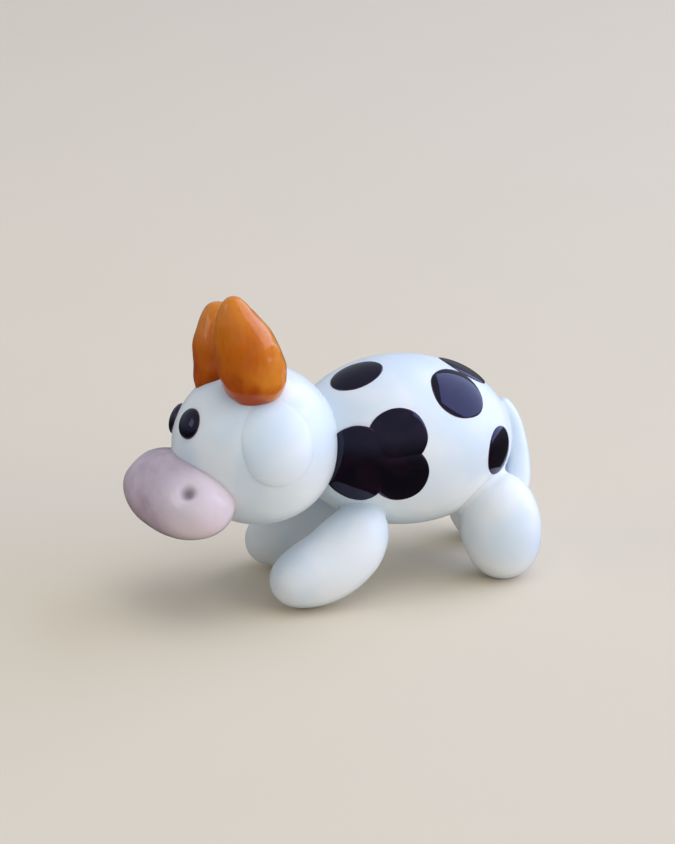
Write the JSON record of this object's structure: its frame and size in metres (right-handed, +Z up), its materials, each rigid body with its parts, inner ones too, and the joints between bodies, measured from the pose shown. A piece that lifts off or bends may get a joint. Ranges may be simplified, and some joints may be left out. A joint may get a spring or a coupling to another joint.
{
  "type": "cow figurine",
  "caption": "Small standing cow of torch-worked opaque glass: round white body and head with black dots, amber horns, pink muzzle and stubby legs. A shelf ornament.",
  "frame": {"origin": "on the floor under the middle of the figure's box", "axes": "+X forward to the muzzle, +Y to the cow's left, +Z up"},
  "size_m": [0.0274, 0.0124, 0.0212],
  "materials": {
    "white_glass": "gloss",
    "black_glass": "gloss",
    "amber_glass": "gloss",
    "pink_glass": "gloss"
  },
  "bodies": {
    "root": {"body": "white_glass", "flank_spot_front": "black_glass", "flank_spot_lower": "black_glass", "flank_spot_upper": "black_glass", "front_left_leg": "white_glass", "front_right_leg": "white_glass", "head": "white_glass", "hind_left_leg": "white_glass", "hind_right_leg": "white_glass", "hip_spot": "black_glass", "left_ear": "white_glass", "left_eye": "black_glass", "left_horn": "amber_glass", "muzzle": "pink_glass", "right_belly_spot": "black_glass", "right_ear": "white_glass", "right_eye": "black_glass", "right_flank_spot": "black_glass", "right_hip_spot": "black_glass", "right_horn": "amber_glass", "right_shoulder_spot": "black_glass", "rump_spot": "black_glass", "shoulder_spot": "black_glass", "tail": "white_glass", "thigh_spot": "black_glass"}
  },
  "joints": []
}
